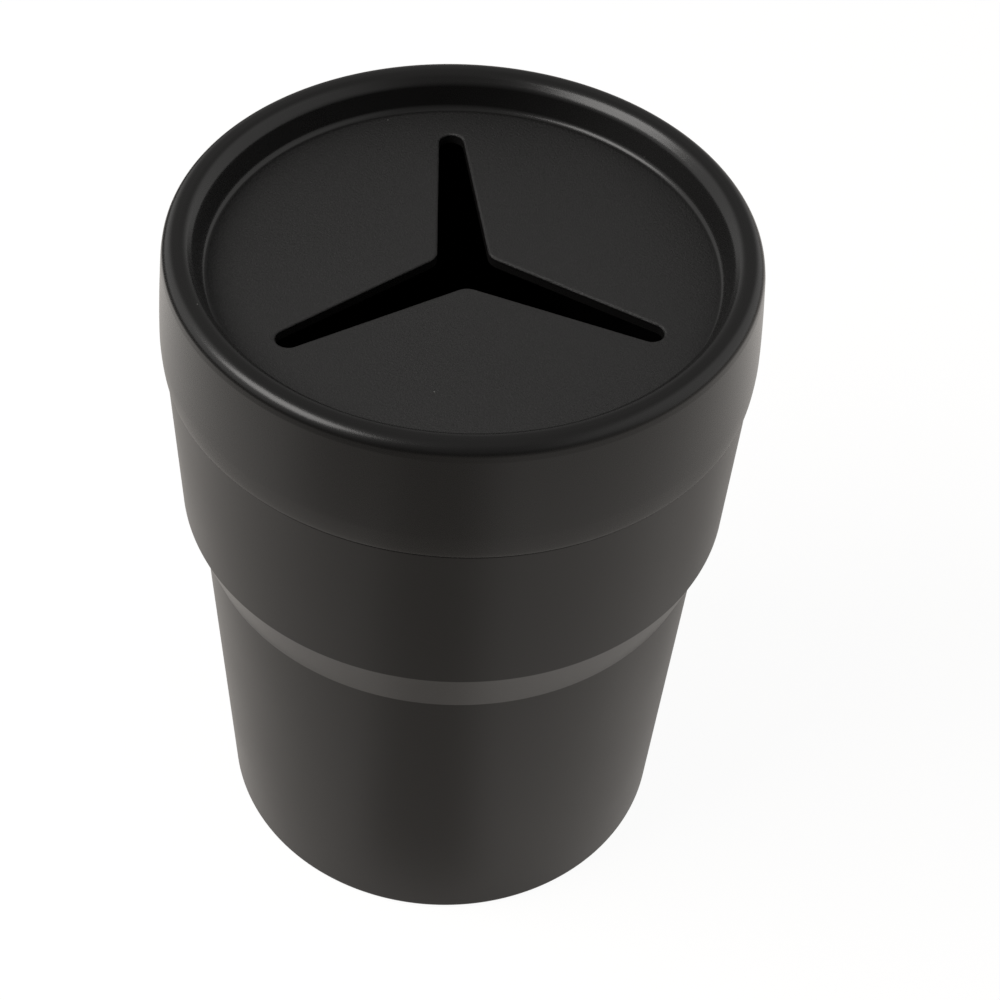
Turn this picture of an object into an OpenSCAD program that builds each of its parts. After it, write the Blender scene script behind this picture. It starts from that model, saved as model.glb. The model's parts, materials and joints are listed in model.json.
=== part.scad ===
// A litter bin for a car's cup holder: a stepped tub, and a lid that presses onto its mouth
// and is pierced by a three-armed slot. Both are injection mouldings in black plastic.
// +Z is up, and the origin is on the bin's axis, on the surface that it stands on.

/* [Overall size] */
// Height over the crest of the lid's rim
overall_h = 105; // [104:0.5:112]
// Widest diameter, round the belly of the lid's skirt
belly_d = 80; // [79.6:0.1:81]
// Diameter of the flat foot
foot_d = 65; // [58:0.5:67]

/* [Tub] */
// Height of the barrel, the tapered length that drops into a cup holder
barrel_h = 53.3; // [40:0.1:58]
// Diameter at the top of the barrel
barrel_top_d = 72; // [70:0.1:73]
// Height of the collar's lower edge, where the slanted shoulder ends
collar_low_h = 61.5; // [60:0.1:70]
// Diameter of the collar at its lower edge
collar_low_d = 77.3; // [76:0.1:78.5]
// Height of the ledge at the collar's upper edge, just under the lid
ledge_h = 86.9; // [80:0.1:90]
// Diameter of the collar at that ledge
ledge_d = 79; // [78:0.1:79.2]
// Thickness of the tub's wall
tub_wall = 2.2; // [1.6:0.1:2.4]
// Thickness of the tub's floor
tub_floor = 2; // [1.6:0.1:3]
// Depth of the hollow under the floor, inside the foot ring
foot_hollow = 0.8; // [0.4:0.1:1.2]

/* [Lid's fit on the tub] */
// Outer diameter of the thin mouth that the skirt slides over
mouth_d = 76.8; // [76.2:0.1:77]
// Height of the mouth above the ledge
mouth_rise = 9.1; // [6:0.1:10]
// Thickness of the mouth
mouth_wall = 1.3; // [1:0.1:1.6]
// Play between the mouth and the skirt, on the radius
skirt_play = 0.1; // [0.05:0.01:0.3]
// Open seam between the ledge and the skirt's lower edge
seam_gap = 0.2; // [0.1:0.05:0.5]

/* [Lid] */
// Diameter of the skirt at its lower edge
skirt_low_d = 79.5; // [79.3:0.05:79.8]
// Height of the belly above the skirt's lower edge
belly_rise = 3.4; // [2:0.1:5]
// Diameter at the shoulder, the soft edge where the skirt meets the rim's crown
shoulder_d = 78.2; // [78.1:0.1:78.6]
// Drop from the crest to the shoulder
shoulder_drop = 2.1; // [1.8:0.1:2.2]
// Depth of the recessed floor below the crest
floor_drop = 5; // [4.5:0.1:5.6]
// Thickness of the recessed floor
lid_floor = 1.5; // [1.2:0.1:1.8]
// Diameter of the recess at its floor
recess_low_d = 68; // [66:0.1:68.4]
// Diameter of the recess at its upper edge
recess_top_d = 70.2; // [69.6:0.1:70.4]

/* [Slot] */
// Distance from the lid's axis to the centre of each arm's round end
arm_length = 26.6; // [20:0.1:30]
// Radius of each arm's round end
arm_end_r = 1.7; // [1:0.05:2.5]
// Angle between each side of an arm and the arm's own centre line
arm_taper = 4; // [2:0.1:8]
// Radius of the corners between neighbouring arms
arm_corner_r = 2.4; // [1:0.1:4]
// Rounding of the slot's upper edge
slot_edge_r = 0.35; // [0.1:0.05:0.5]
// Turn of the slot away from the +Y axis
slot_turn = 5.6; // [-60:0.1:60]

/* [Hidden] */
$fn = 144;
plastic_black = [0.13, 0.13, 0.135];
lid_black = [0.16, 0.16, 0.165];
arc_step = 12;
overcut = 1;

// heights that follow from the ones above
inside_floor_h = foot_hollow + tub_floor;
mouth_top_h = ledge_h + mouth_rise;
skirt_low_h = ledge_h + seam_gap;
belly_h = skirt_low_h + belly_rise;
shoulder_h = overall_h - shoulder_drop;
recess_floor_h = overall_h - floor_drop;
floor_under_h = recess_floor_h - lid_floor;

// small roundings and edge details of the mouldings
foot_corner_r = 1;
foot_ring_w = 4;
foot_inner_r = 0.4;
barrel_edge_r = 0.5;
collar_edge_r = 0.5;
ledge_edge_r = 0.25;
mouth_root_r = 0.2;
mouth_lip_r = 0.35;
mouth_draft = 0.05;
inner_bottom_r = 3;
inner_shoulder_r = 2;
inner_lift = 0.5;
skirt_edge_r = 0.3;
skirt_lead = 0.4;
crown_inner_drop = 1.3;
crown_inner_r = 0.6;
crest_d = 73.1;
crest_r = 1.5;
crown_outer_r = 1.3;
crown_lean = 0.6;
shoulder_edge_r = 2.5;
recess_foot_r = 1.1;
channel_roof_drop = 2;
channel_roof_r = 0.4;
channel_outer_d = 74.6;
channel_top_in_d = 72.6;
channel_low_in_d = 70.5;
channel_draft = 0.15;
belly_lower_power = 1.7;
belly_upper_power = 1.35;

// a unit vector along v
function unit(v) = v / norm(v);

// the points that round corner p, which lies between a and b, with radius r
function round_corner(a, p, b, r) =
    r == 0 ? [p] :
    let (to_a = unit(a - p),
         to_b = unit(b - p),
         half = acos(to_a * to_b) / 2,
         centre = p + unit(to_a + to_b) * r / sin(half),
         start = p + to_a * r / tan(half) - centre,
         first = atan2(start[1], start[0]),
         side = cross(to_a, to_b) > 0 ? -1 : 1,
         turn = side * (180 - 2 * half),
         steps = max(2, ceil(abs(turn) / arc_step)))
    [for (i = [0:steps])
        let (angle = first + turn * i / steps)
        centre + r * [cos(angle), sin(angle)]];

// a closed outline from corners given as [radius, height, rounding]
function rounded(corners) =
    let (n = len(corners),
         at = [for (c = corners) [c[0], c[1]]])
    [for (i = [0:n - 1])
        each round_corner(at[(i + n - 1) % n], at[i], at[(i + 1) % n], corners[i][2])];

// the tub's section, anticlockwise from the axis, out round the foot and up
tub_section = [
    [0, foot_hollow, 0],
    [foot_d / 2 - foot_ring_w, foot_hollow, foot_inner_r],
    [foot_d / 2 - foot_ring_w + foot_hollow / 2, 0, foot_inner_r / 2],
    [foot_d / 2 + foot_corner_r, 0, foot_corner_r],
    [barrel_top_d / 2, barrel_h, barrel_edge_r],
    [collar_low_d / 2, collar_low_h, collar_edge_r],
    [ledge_d / 2, ledge_h, ledge_edge_r],
    [mouth_d / 2, ledge_h, mouth_root_r],
    [mouth_d / 2 - mouth_draft, mouth_top_h, mouth_lip_r],
    [mouth_d / 2 - mouth_wall, mouth_top_h, mouth_lip_r],
    [collar_low_d / 2 - tub_wall, collar_low_h + inner_lift, inner_shoulder_r],
    [barrel_top_d / 2 - tub_wall, barrel_h + inner_lift, inner_shoulder_r],
    [foot_d / 2 + foot_corner_r - tub_wall, inside_floor_h, inner_bottom_r],
    [0, inside_floor_h, 0],
];

// the skirt's outer curve: a tight turn in below the belly, and a slow lean in above it
skirt_steps = 8;
skirt_curve = [
    for (i = [2:skirt_steps])
        let (angle = 90 * i / skirt_steps)
        [skirt_low_d / 2 + (belly_d - skirt_low_d) / 2 * pow(sin(angle), 2 / belly_lower_power),
         belly_h - belly_rise * pow(cos(angle), 2 / belly_lower_power), 0],
    for (i = [1:skirt_steps - 1])
        let (share = i / skirt_steps)
        [belly_d / 2 - (belly_d - shoulder_d) / 2 * pow(share, belly_upper_power),
         belly_h + (shoulder_h - belly_h) * share, 0],
];

// the lid's section, anticlockwise from the axis under the floor, round the skirt and over the rim
lid_section = [
    [0, floor_under_h, 0],
    [channel_low_in_d / 2, floor_under_h, channel_roof_r],
    [channel_low_in_d / 2 + channel_draft, recess_floor_h, 0],
    [channel_top_in_d / 2, overall_h - channel_roof_drop, channel_roof_r],
    [channel_outer_d / 2 - channel_draft, overall_h - channel_roof_drop, channel_roof_r],
    [channel_outer_d / 2, mouth_top_h, 0],
    [mouth_d / 2 + skirt_play, mouth_top_h, 0],
    [mouth_d / 2 + skirt_play, skirt_low_h + skirt_lead, 0],
    [mouth_d / 2 + skirt_play + skirt_lead / 2, skirt_low_h, 0],
    [skirt_low_d / 2, skirt_low_h, skirt_edge_r / 2],
    each skirt_curve,
    [shoulder_d / 2, shoulder_h, shoulder_edge_r],
    [shoulder_d / 2 - crown_lean, overall_h, crown_outer_r],
    [crest_d / 2, overall_h, crest_r],
    [recess_top_d / 2, overall_h - crown_inner_drop, crown_inner_r],
    [recess_low_d / 2, recess_floor_h, recess_foot_r],
    [0, recess_floor_h, 0],
];

// the slot's outline, pushed outwards all round by grow
arm_offset = arm_length * sin(arm_taper) + arm_end_r;
corner_reach = (arm_offset + arm_corner_r) / sin(60 + arm_taper);
function turned(r, angle) = r * [cos(angle), sin(angle)];
function slot_outline(grow) = [
    for (k = [0:2])
        let (heading = 90 + slot_turn + 120 * k,
             end_centre = turned(arm_length, heading),
             corner_centre = turned(corner_reach, heading + 60),
             end_sweep = 90 - arm_taper,
             corner_sweep = 30 - arm_taper)
        each [
            for (i = [0:12])
                end_centre + turned(arm_end_r + grow, heading - end_sweep + end_sweep * i / 6),
            for (i = [0:4])
                corner_centre
                    + turned(arm_corner_r - grow, heading - 120 + corner_sweep - corner_sweep * i / 2),
        ]
];

// a solid skinned over a stack of outlines that all have the same number of points
module skin(outlines, heights) {
    count = len(outlines[0]);
    last = len(outlines) - 1;
    points = [for (j = [0:last]) for (p = outlines[j]) [p[0], p[1], heights[j]]];
    sides = [for (j = [0:last - 1]) for (i = [0:count - 1])
        let (next = (i + 1) % count)
        [j * count + i, (j + 1) * count + i, (j + 1) * count + next, j * count + next]];
    lower = [for (i = [0:count - 1]) i];
    upper = [for (i = [count - 1:-1:0]) last * count + i];
    polyhedron(points, concat([lower], sides, [upper]));
}

// what the slot takes out of the floor: upright walls, then a rounded upper edge
module slot_cutter() {
    edge_steps = 4;
    bends = [for (i = [0:edge_steps]) 90 * i / edge_steps];
    grows = concat([0], [for (b = bends) slot_edge_r * (1 - cos(b))], [slot_edge_r]);
    heights = concat([floor_under_h - overcut],
                     [for (b = bends) recess_floor_h - slot_edge_r * (1 - sin(b))],
                     [recess_floor_h + overcut]);
    skin([for (g = grows) slot_outline(g)], heights);
}

module tub() {
    color(plastic_black)
        rotate_extrude()
            polygon(rounded(tub_section));
}

module lid() {
    color(lid_black)
        difference() {
            rotate_extrude()
                polygon(rounded(lid_section));
            slot_cutter();
        }
}

tub();
lid();
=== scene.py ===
"""The looks of a small black litter bin that stands in a car's cup holder.

It has two mouldings, a stepped tub and a press-on lid with a slot, and both are made again here
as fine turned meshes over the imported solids. Sizes are in millimetres where nothing else is said.
"""

import json
from math import acos, atan2, ceil, cos, pi, radians, sin, tan

import bmesh
import bpy
from mathutils import Matrix, Vector

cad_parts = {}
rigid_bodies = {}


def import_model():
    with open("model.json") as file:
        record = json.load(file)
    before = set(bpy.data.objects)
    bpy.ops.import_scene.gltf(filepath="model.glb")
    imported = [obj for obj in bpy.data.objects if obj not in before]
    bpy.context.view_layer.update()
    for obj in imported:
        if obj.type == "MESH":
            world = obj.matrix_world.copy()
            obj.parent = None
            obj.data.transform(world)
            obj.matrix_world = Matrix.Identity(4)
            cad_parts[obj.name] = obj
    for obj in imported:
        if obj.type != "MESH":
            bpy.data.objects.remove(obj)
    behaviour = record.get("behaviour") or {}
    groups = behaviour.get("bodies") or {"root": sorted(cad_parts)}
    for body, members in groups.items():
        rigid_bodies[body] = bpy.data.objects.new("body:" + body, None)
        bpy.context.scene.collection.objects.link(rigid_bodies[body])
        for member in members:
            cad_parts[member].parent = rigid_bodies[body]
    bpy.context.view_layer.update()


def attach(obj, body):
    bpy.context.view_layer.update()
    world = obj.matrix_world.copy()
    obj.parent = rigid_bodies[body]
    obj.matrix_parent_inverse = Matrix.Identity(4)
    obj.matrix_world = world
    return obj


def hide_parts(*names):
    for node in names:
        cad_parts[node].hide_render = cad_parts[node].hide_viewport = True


for thing in list(bpy.data.objects):
    bpy.data.objects.remove(thing)
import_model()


# The tub: one injection moulding in satin black plastic, open at the top. Its foot and tapered
# barrel drop into the cup holder, a slanted shoulder widens it to the collar, and the thin mouth
# above the collar's ledge is what the lid presses onto.
foot_flat_r = 32.5
foot_corner_r = 1.0
foot_ring_w = 4.0
foot_hollow = 0.8
barrel_top = (36.0, 53.3)
collar_low = (38.65, 61.5)
ledge = (39.5, 86.9)
mouth_r = 38.4
mouth_top = 96.0
mouth_wall = 1.3
mouth_draft = 0.05
tub_wall = 2.2
inside_floor = 2.8
inner_lift = 0.5


def rounded(corners, step=5):
    """A section's points, from corners that are each a radius, a height and a rounding."""
    points = []
    for i, (r, z, rounding) in enumerate(corners):
        corner = Vector((r, z))
        if rounding == 0:
            points.append(corner)
            continue
        back = (Vector(corners[i - 1][:2]) - corner).normalized()
        ahead = (Vector(corners[(i + 1) % len(corners)][:2]) - corner).normalized()
        half = acos(back.dot(ahead)) / 2
        centre = corner + (back + ahead).normalized() * rounding / sin(half)
        first = corner + back * rounding / tan(half) - centre
        start = atan2(first.y, first.x)
        sweep = (pi - 2 * half) * (-1 if back.cross(ahead) > 0 else 1)
        steps = max(3, ceil(abs(sweep) / radians(step)))
        for k in range(steps + 1):
            angle = start + sweep * k / steps
            points.append(centre + rounding * Vector((cos(angle), sin(angle))))
    return points


def at(x, y, z):
    """A place in Blender's metres, from one in millimetres."""
    return Vector((x / 1000, y / 1000, z / 1000))


def turn(bm, section, around=288):
    """Turns a section about the bin's axis, and gives back one loop of vertices for each point."""
    angles = [2 * pi * k / around for k in range(around)]
    loops = []
    for r, z in section:
        if r < 0.001:
            loops.append([bm.verts.new(at(0, 0, z))] * around)
        else:
            loops.append([bm.verts.new(at(r * cos(angle), r * sin(angle), z)) for angle in angles])
    for low, high in zip(loops, loops[1:]):
        for k in range(around):
            quad = [low[k], low[(k + 1) % around], high[(k + 1) % around], high[k]]
            # a quad at the axis loses its doubled corner and becomes a triangle
            bm.faces.new(list(dict.fromkeys(quad)))
    return loops


def moulding(name, bm):
    """A finished moulding: faces that look outwards, and shading that stays true on flat faces."""
    bmesh.ops.recalc_face_normals(bm, faces=bm.faces)
    mesh = bpy.data.meshes.new(name)
    bm.to_mesh(mesh)
    bm.free()
    mesh.shade_smooth()
    mesh.set_sharp_from_angle(angle=radians(38))
    piece = bpy.data.objects.new(name, mesh)
    bpy.context.scene.collection.objects.link(piece)
    shading = piece.modifiers.new("true_flats", "WEIGHTED_NORMAL")
    shading.keep_sharp = True
    return piece


# the section runs from the axis under the floor, out round the foot and up, and down the inside
tub_section = rounded([
    (0, foot_hollow, 0),
    (foot_flat_r - foot_ring_w, foot_hollow, 0.4),
    (foot_flat_r - foot_ring_w + foot_hollow / 2, 0, 0.2),
    (foot_flat_r + foot_corner_r, 0, foot_corner_r),
    (*barrel_top, 0.5),
    (*collar_low, 0.5),
    (*ledge, 0.25),
    (mouth_r, ledge[1], 0.2),
    (mouth_r - mouth_draft, mouth_top, 0.35),
    (mouth_r - mouth_wall, mouth_top, 0.35),
    (collar_low[0] - tub_wall, collar_low[1] + inner_lift, 2.0),
    (barrel_top[0] - tub_wall, barrel_top[1] + inner_lift, 2.0),
    (foot_flat_r + foot_corner_r - tub_wall, inside_floor, 3.0),
    (0, inside_floor, 0),
])
tub_bm = bmesh.new()
turn(tub_bm, tub_section)
tub = moulding("tub_moulding", tub_bm)


class Wire:
    """A socket in a shader's tree. Sums with wires add Math nodes, and node() adds any other node."""

    def __init__(self, tree, socket=None):
        self.tree = tree
        self.socket = socket

    def node(self, kind, settings, inputs, output=0):
        made = self.tree.nodes.new(kind)
        for key, value in settings.items():
            setattr(made, key, value)
        for key, value in inputs.items():
            if isinstance(value, Wire):
                self.tree.links.new(value.socket, made.inputs[key])
            else:
                made.inputs[key].default_value = value
        return Wire(self.tree, made.outputs[output])

    def into(self, socket):
        self.tree.links.new(self.socket, socket)

    def maths(self, operation, first, second=0.0):
        return self.node("ShaderNodeMath", {"operation": operation}, {0: first, 1: second})

    def __add__(self, other):
        return self.maths("ADD", self, other)

    __radd__ = __add__

    def __sub__(self, other):
        return self.maths("SUBTRACT", self, other)

    def __rsub__(self, other):
        return self.maths("SUBTRACT", other, self)

    def __mul__(self, other):
        return self.maths("MULTIPLY", self, other)

    def __truediv__(self, other):
        return self.maths("DIVIDE", self, other)

    def __lt__(self, other):
        return self.maths("LESS_THAN", self, other)

    def fade(self, low, high):
        """0 up to low and 1 from high, with a soft rise between them; low may be the larger."""
        ends = {"Value": self, "From Min": low, "From Max": high, "To Min": 0.0, "To Max": 1.0}
        return self.node("ShaderNodeMapRange", {"interpolation_type": "SMOOTHSTEP"}, ends)

    def noise(self, place, scale, detail, roughness):
        inputs = {"Vector": place, "Scale": scale, "Detail": detail, "Roughness": roughness}
        return self.node("ShaderNodeTexNoise", {}, inputs)

    def part(self, axis):
        """One part of a place or a direction: its X, Y or Z."""
        return self.node("ShaderNodeSeparateXYZ", {}, {"Vector": self}, axis)


def moulded_black(name):
    """A new material, its shader, a first wire, and the place on the piece in millimetres."""
    material = bpy.data.materials.new(name)
    material.use_nodes = True
    tree = material.node_tree
    maker = Wire(tree)
    metres = maker.node("ShaderNodeTexCoord", {}, {}, "Object")
    scaled = {0: metres, "Scale": 1000.0}
    place = maker.node("ShaderNodeVectorMath", {"operation": "SCALE"}, scaled, "Vector")
    return material, tree.nodes["Principled BSDF"], maker, place


def specks(maker, place, spacing, size, share):
    """Specks of dust: 1 inside each, in one cell of so many, each with its own place and size."""
    cells = {"Vector": place, "Scale": 1 / spacing, "Randomness": 1.0}
    near = maker.node("ShaderNodeTexVoronoi", {"feature": "F1"}, cells, "Distance")
    own = maker.node("ShaderNodeTexVoronoi", {"feature": "F1"}, cells, "Color")
    pick = maker.node("ShaderNodeSeparateColor", {}, {"Color": own}, "Red")
    other = maker.node("ShaderNodeSeparateColor", {}, {"Color": own}, "Green")
    return (near < (0.4 + other * 0.6) * (size / spacing)) * (pick < share)


def blend(maker, factor, first, second):
    """Two colours mixed by a factor."""
    inputs = {"Factor": factor, "A": first, "B": second}
    return maker.node("ShaderNodeMix", {"data_type": "RGBA"}, inputs, "Result")


def moulded_surface(maker, shader, colour, roughness, height):
    """Wires up the shader: its colour, its roughness, and a relief in which 1 is 0.02 mm high."""
    colour.into(shader.inputs["Base Color"])
    roughness.into(shader.inputs["Roughness"])
    relief = {"Strength": 0.35, "Distance": 0.00002, "Height": height}
    maker.node("ShaderNodeBump", {}, relief, "Normal").into(shader.inputs["Normal"])
    shader.inputs["IOR"].default_value = 1.36


# flow drifts slowly, over some three centimetres, and skin is the mould's fine texture, of some
# tenths of a millimetre
tub_black, shader, maker, place = moulded_black("tub_satin_black")
flow = maker.noise(place, 0.035, 3.0, 0.5)
skin = maker.noise(place, 3.2, 3.0, 0.6)
dust = specks(maker, place, spacing=3.4, size=0.09, share=0.10)
plastic = blend(maker, flow, (0.0042, 0.0040, 0.0039, 1), (0.0060, 0.0057, 0.0055, 1))
dusty = blend(maker, dust * 0.25, plastic, (0.30, 0.29, 0.27, 1))
roughness = 0.30 + (flow - 0.5) * 0.10 + (skin - 0.5) * 0.05 + dust * 0.3
moulded_surface(maker, shader, dusty, roughness, skin + dust * 0.8)
tub.data.materials.append(tub_black)

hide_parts("tub")
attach(tub, "bin")


# The lid: one injection moulding in the same plastic. Its skirt swells to a belly and slides over
# the tub's mouth, the rim is a rounded crown above a soft shoulder, and the recessed floor, grained
# by spark erosion, has a three-armed slot with rounded ends that litter is pushed through.
crest_top = 105.0
belly_r = 40.0
belly_h = 90.5
belly_lower_power = 1.7
belly_upper_power = 1.35
skirt_low = (39.75, 87.1)
skirt_play = 0.1
skirt_lead = 0.4
shoulder = (39.1, 102.9)
crown_lean = 0.38
crest_inner_r = 36.1
crown_lip = (34.9, 103.7)
recess_low_r = 34.0
recess_floor = 100.0
floor_under = 98.5
plain_ring_r = 31.4
channel_low_r = 35.25
channel_inner_r = 36.3
channel_outer_r = 37.3
channel_roof = 103.0
channel_draft = 0.15
arm_length = 26.6
arm_end_r = 1.7
arm_taper = radians(4.0)
arm_corner_r = 2.4
slot_edge_r = 0.35
slot_turn = radians(5.6)
flat_ring_w = 0.12

# the skirt's outer curve turns in tightly below the belly and leans in slowly above it, and its
# lower and upper ends are left to the roundings of the corners there
skirt_curve = []
curve_steps = 32
for k in range(3, curve_steps + 1):
    angle = pi / 2 * k / curve_steps
    outwards = sin(angle) ** (2 / belly_lower_power)
    downwards = max(cos(angle), 0) ** (2 / belly_lower_power)
    skirt_curve.append((skirt_low[0] + (belly_r - skirt_low[0]) * outwards,
                        belly_h - (belly_h - skirt_low[1]) * downwards, 0))
for k in range(1, curve_steps - 1):
    share = k / curve_steps
    skirt_curve.append((belly_r - (belly_r - shoulder[0]) * share ** belly_upper_power,
                        belly_h + (shoulder[1] - belly_h) * share, 0))

# the section runs from the plain ring under the floor, round the skirt and rim, to the ring on top
lid_section = rounded([
    (plain_ring_r, floor_under, 0),
    (channel_low_r, floor_under, 0.4),
    (channel_low_r + channel_draft, recess_floor, 0),
    (channel_inner_r, channel_roof, 0.4),
    (channel_outer_r - channel_draft, channel_roof, 0.4),
    (channel_outer_r, mouth_top, 0),
    (mouth_r + skirt_play, mouth_top, 0),
    (mouth_r + skirt_play, skirt_low[1] + skirt_lead, 0),
    (mouth_r + skirt_play + skirt_lead / 2, skirt_low[1], 0),
    (*skirt_low, 0.15),
    *skirt_curve,
    (*shoulder, 2.5),
    (shoulder[0] - crown_lean, crest_top, 1.75),
    (crest_inner_r, crest_top, 1.8),
    (*crown_lip, 1.6),
    (recess_low_r, recess_floor, 1.1),
    (plain_ring_r, recess_floor, 0),
])

arm_offset = arm_length * sin(arm_taper) + arm_end_r
corner_reach = (arm_offset + arm_corner_r) / sin(pi / 3 + arm_taper)


def slot_outline(grow, end_steps=12, corner_steps=4):
    """The slot's outline, pushed outwards all round by grow."""
    outline = []
    for arm in range(3):
        heading = pi / 2 + slot_turn + 2 * pi * arm / 3
        end_centre = arm_length * Vector((cos(heading), sin(heading)))
        corner_centre = corner_reach * Vector((cos(heading + pi / 3), sin(heading + pi / 3)))
        end_sweep = pi / 2 - arm_taper
        corner_sweep = pi / 6 - arm_taper
        for k in range(2 * end_steps + 1):
            angle = heading - end_sweep + end_sweep * k / end_steps
            outline.append(end_centre + (arm_end_r + grow) * Vector((cos(angle), sin(angle))))
        for k in range(2 * corner_steps + 1):
            angle = heading - 2 * pi / 3 + corner_sweep - corner_sweep * k / corner_steps
            outline.append(corner_centre + (arm_corner_r - grow) * Vector((cos(angle), sin(angle))))
    return outline


def edges_of(bm, loop):
    """The edges round a closed loop of vertices."""
    found = []
    for a, b in zip(loop, loop[1:] + loop[:1]):
        found.append(bm.edges.get((a, b)) or bm.edges.new((a, b)))
    return found


# the slot's wall as levels of how far each is pushed out and its height, with a narrow flat ring
# round it below and above that keeps the rounding's shading off the rest of the floor
slot_levels = [(flat_ring_w, floor_under), (0.0, floor_under), (0.0, recess_floor - slot_edge_r)]
edge_steps = 6
for k in range(1, edge_steps + 1):
    bend = pi / 2 * k / edge_steps
    pushed = slot_edge_r * (1 - cos(bend))
    slot_levels.append((pushed, recess_floor - slot_edge_r * (1 - sin(bend))))
slot_levels.append((slot_edge_r + flat_ring_w, recess_floor))

lid_bm = bmesh.new()
lid_loops = turn(lid_bm, lid_section)
slot_loops = []
for grow, z in slot_levels:
    slot_loops.append([lid_bm.verts.new(at(x, y, z)) for x, y in slot_outline(grow)])
for low, high in zip(slot_loops, slot_loops[1:]):
    count = len(low)
    for k in range(count):
        lid_bm.faces.new([low[k], low[(k + 1) % count], high[(k + 1) % count], high[k]])
for ring, slot_loop in ((lid_loops[0], slot_loops[0]), (lid_loops[-1], slot_loops[-1])):
    around = edges_of(lid_bm, ring) + edges_of(lid_bm, slot_loop)
    bmesh.ops.triangle_fill(lid_bm, use_beauty=True, edges=around)
lid = moulding("lid_moulding", lid_bm)

lid_black, shader, maker, place = moulded_black("lid_satin_black")
x = place.part("X")
y = place.part("Y")
from_axis = maker.maths("SQRT", x * x + y * y)
# grained is 1 on the upper side of the recessed floor and 0 on the rest of the lid
grained = from_axis.fade(33.7, 33.1) * place.part("Z").fade(99.5, 99.8)
flow = maker.noise(place, 0.035, 3.0, 0.5)
skin = maker.noise(place, 3.2, 3.0, 0.6)
grain = maker.noise(place, 2.6, 5.0, 0.72)
dust = specks(maker, place, spacing=3.0, size=0.15, share=0.12)
plastic = blend(maker, flow, (0.0044, 0.0042, 0.0041, 1), (0.0060, 0.0058, 0.0057, 1))
matt = blend(maker, grained, plastic, (0.0110, 0.0108, 0.0107, 1))
dusty = blend(maker, dust * 0.35, matt, (0.30, 0.30, 0.29, 1))
roughness = 0.27 + (flow - 0.5) * 0.08 + (skin - 0.5) * 0.05 + dust * 0.3 + grained * 0.17
height = skin * (1 - grained) * 0.5 + grain * grained * 42.0 + dust * 0.8
moulded_surface(maker, shader, dusty, roughness, height)
lid.data.materials.append(lid_black)

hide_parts("lid")
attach(lid, "lid")


# The floor that the bin stands on: a wide, plain white sheet. The camera sees it white, and a
# share of its own shading keeps the bin's soft shadow. A reflection sees painted light and shade on
# it: a warm glow, brightest in a ring round the bin, with painted shade far off and in front for the
# dim side of the studio.
floor_half_m = 4.0
floor_z_m = -0.00002
white_share = 0.86
# levels of the painted light that reflections see on the floor
near_level = 0.36
ring_gain = 0.46
far_loss = 0.62


def rays(maker):
    """Masks of the rays that see a thing directly or through glass, and of the mirrored ones."""
    straight = maker.node("ShaderNodeLightPath", {}, {}, "Is Camera Ray")
    through = maker.node("ShaderNodeLightPath", {}, {}, "Is Transmission Ray")
    mirrored = maker.node("ShaderNodeLightPath", {}, {}, "Is Glossy Ray")
    return maker.maths("MAXIMUM", straight, through), mirrored


def mixed(maker, factor, first, second):
    """Two shaders mixed by a factor."""
    return maker.node("ShaderNodeMixShader", {}, {0: factor, 1: first, 2: second}, "Shader")


floor_mesh = bpy.data.meshes.new("floor_sheet")
floor_mesh.from_pydata([
    (-floor_half_m, -floor_half_m, floor_z_m),
    (floor_half_m, -floor_half_m, floor_z_m),
    (floor_half_m, floor_half_m, floor_z_m),
    (-floor_half_m, floor_half_m, floor_z_m),
], [], [(0, 1, 2, 3)])
floor = bpy.data.objects.new("floor_sheet", floor_mesh)
bpy.context.scene.collection.objects.link(floor)
floor_white = bpy.data.materials.new("floor_white")
floor_white.use_nodes = True
floor_white.node_tree.nodes.clear()
maker = Wire(floor_white.node_tree)
direct, mirrored = rays(maker)
metres = maker.node("ShaderNodeTexCoord", {}, {}, "Object")
x = metres.part("X") * 1000
y = metres.part("Y") * 1000
away = maker.maths("SQRT", x * x + y * y)

# painted light: how bright a reflection sees the floor, middling close in, then the ring, then a fall
# to dim, with a little more close by at the right front and further out on the left
near_right = x.fade(-5, 25) * y.fade(15, -20) * away.fade(150, 95)
painted_light_level = near_level + away.fade(95, 150) * ring_gain - away.fade(210, 420) * far_loss
painted_light_level = painted_light_level + near_right * 0.14 + x.fade(-110, -170) * 0.12

# painted shade in what a reflection sees: a wedge that widens towards the front, a round patch at the
# front left, and the floor far to the left
forwards = maker.maths("MAXIMUM", 0 - y, 1.0)
slant = x / forwards
wedge = slant.fade(-0.66, -0.24) * slant.fade(0.40, 0.00) * y.fade(-31, -46)
patch = maker.maths("SQRT", (x + 95) * (x + 95) + (y + 140) * (y + 140)).fade(85, 20)
painted_shade = maker.maths("MAXIMUM", wedge * 0.97, patch * 0.75)
painted_shade_far_left = away.fade(190, 300) * x.fade(0, -170) * 0.85

sheet = maker.node("ShaderNodeBsdfDiffuse", {}, {"Color": (0.50, 0.475, 0.45, 1)}, "BSDF")
black = maker.node("ShaderNodeBsdfDiffuse", {}, {"Color": (0.0, 0.0, 0.0, 1)}, "BSDF")
warm_light = {"Color": (1, 0.955, 0.91, 1), "Strength": 1.16}
warm = maker.node("ShaderNodeEmission", {}, warm_light, "Emission")
white_light = {"Color": (1, 1, 1, 1), "Strength": 1.10}
white = maker.node("ShaderNodeEmission", {}, white_light, "Emission")
# painted reflection: mirrored rays see the warm glow by the painted light and shade, and a black
# sheet as painted shade far to the left
lit = mixed(maker, mirrored * painted_light_level * (1 - painted_shade), sheet, warm)
shaded = mixed(maker, mirrored * painted_shade_far_left, lit, black)
output = floor_white.node_tree.nodes.new("ShaderNodeOutputMaterial")
mixed(maker, direct * white_share, shaded, white).into(output.inputs["Surface"])
floor.data.materials.append(floor_white)


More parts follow.
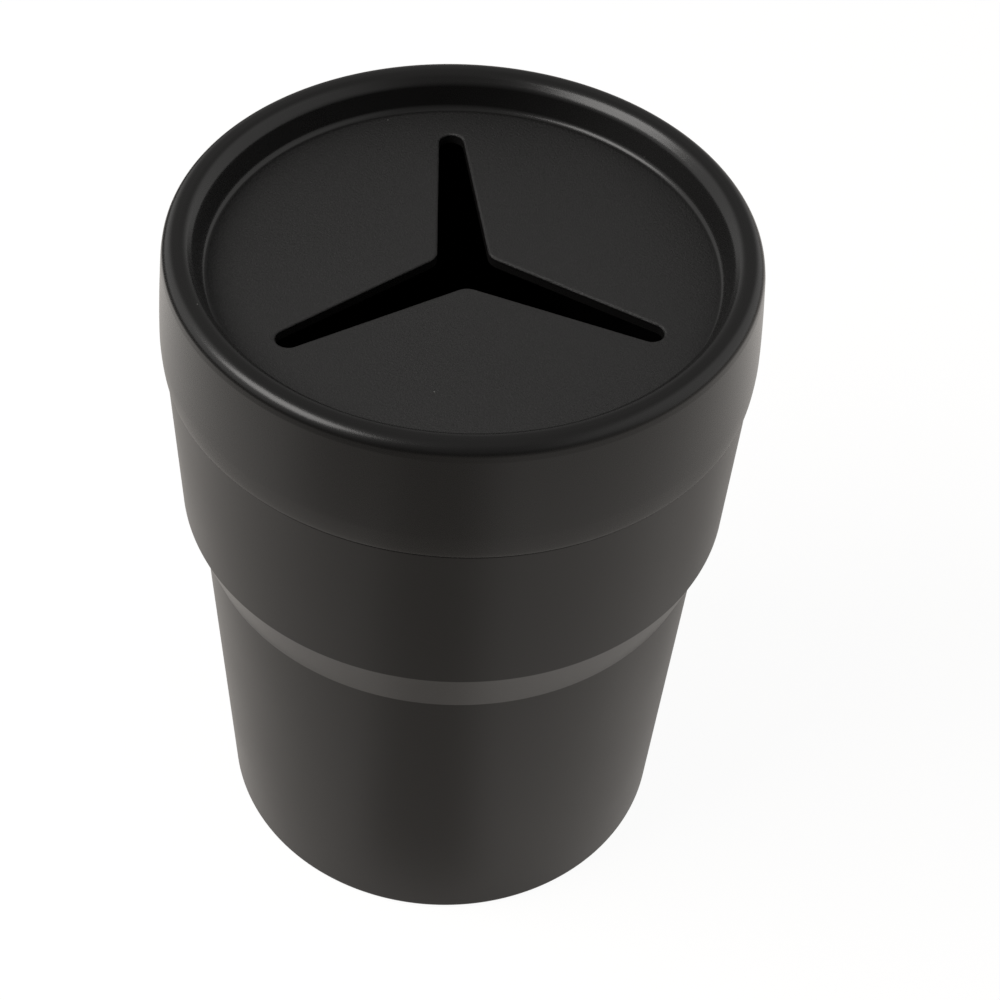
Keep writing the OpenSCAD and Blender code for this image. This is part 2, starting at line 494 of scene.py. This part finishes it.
# The studio round it: white where it is seen past the floor. The light that it gives is plain and
# rather dim, a little warm, brighter at both sides and dimmest in front, low down most of all.
room_level = 0.36
sides_gain = 0.85
height_gain = 0.12
front_loss = 0.75
unmirrored_share = 0.6
world = bpy.data.worlds.new("studio")
bpy.context.scene.world = world
world.use_nodes = True
world.node_tree.nodes.clear()
maker = Wire(world.node_tree)
direct, mirrored = rays(maker)
way = maker.node("ShaderNodeTexCoord", {}, {}, "Generated")
aside = way.part("X")
ahead = way.part("Y")
rise = way.part("Z")
level = room_level + (aside * aside).fade(0.08, 0.40) * sides_gain + rise * rise * height_gain
level = level * (1 - ahead.fade(0.0, -0.8) * (1 - rise.fade(0.05, 0.55) * 0.6) * front_loss)
level = level * (unmirrored_share + mirrored * (1 - unmirrored_share))
strength = direct + (1 - direct) * level
tint = blend(maker, direct, (1, 0.985, 0.97, 1), (1, 1, 1, 1))
room = maker.node("ShaderNodeBackground", {}, {"Color": tint, "Strength": strength}, "Background")
output = world.node_tree.nodes.new("ShaderNodeOutputWorld")
room.into(output.inputs["Surface"])


# The lamp: one soft box to the left, a little to the front, and above, which draws the two long
# highlights on the rim. Its sizes and its place are in metres.
lamp_aim = Vector((0, 0, 0.1))
lamp = bpy.data.lights.new("soft_box", "AREA")
lamp.shape = "RECTANGLE"
lamp.size = 0.68
lamp.size_y = 0.46
lamp.energy = 8.2
lamp.color = (1.0, 0.98, 0.96)
soft_box = bpy.data.objects.new("soft_box", lamp)
bpy.context.scene.collection.objects.link(soft_box)
soft_box.location = Vector((-0.62, -0.20, 0.77))
soft_box.rotation_euler = (soft_box.location - lamp_aim).to_track_quat("Z", "Y").to_euler()


# The camera: above and in front, turned a little to the right, with the photograph's tilt and a
# small shift for its framing. Its place is in metres.
focal_px = 2178.3
frame_px = 1000
camera_at = Vector((0.0, -0.21959, 0.28514))
pitch = radians(47.433)
yaw = radians(2.869)
roll = radians(4.791)
camera_data = bpy.data.cameras.new("camera")
camera_data.sensor_width = 36
camera_data.lens = focal_px / frame_px * camera_data.sensor_width
camera_data.shift_x = -0.025
camera_data.shift_y = 0.050
camera_data.clip_start = 0.01
camera_data.clip_end = 20
camera = bpy.data.objects.new("camera", camera_data)
bpy.context.scene.collection.objects.link(camera)
look = Vector((sin(yaw) * cos(pitch), cos(yaw) * cos(pitch), -sin(pitch)))
level_right = Vector((cos(yaw), -sin(yaw), 0))
level_up = level_right.cross(look)
right = level_right * cos(roll) + level_up * sin(roll)
up = level_up * cos(roll) - level_right * sin(roll)
camera.matrix_world = Matrix((
    (right.x, up.x, -look.x, camera_at.x),
    (right.y, up.y, -look.y, camera_at.y),
    (right.z, up.z, -look.z, camera_at.z),
    (0, 0, 0, 1),
))
bpy.context.scene.camera = camera
bpy.context.scene.view_settings.view_transform = "Standard"
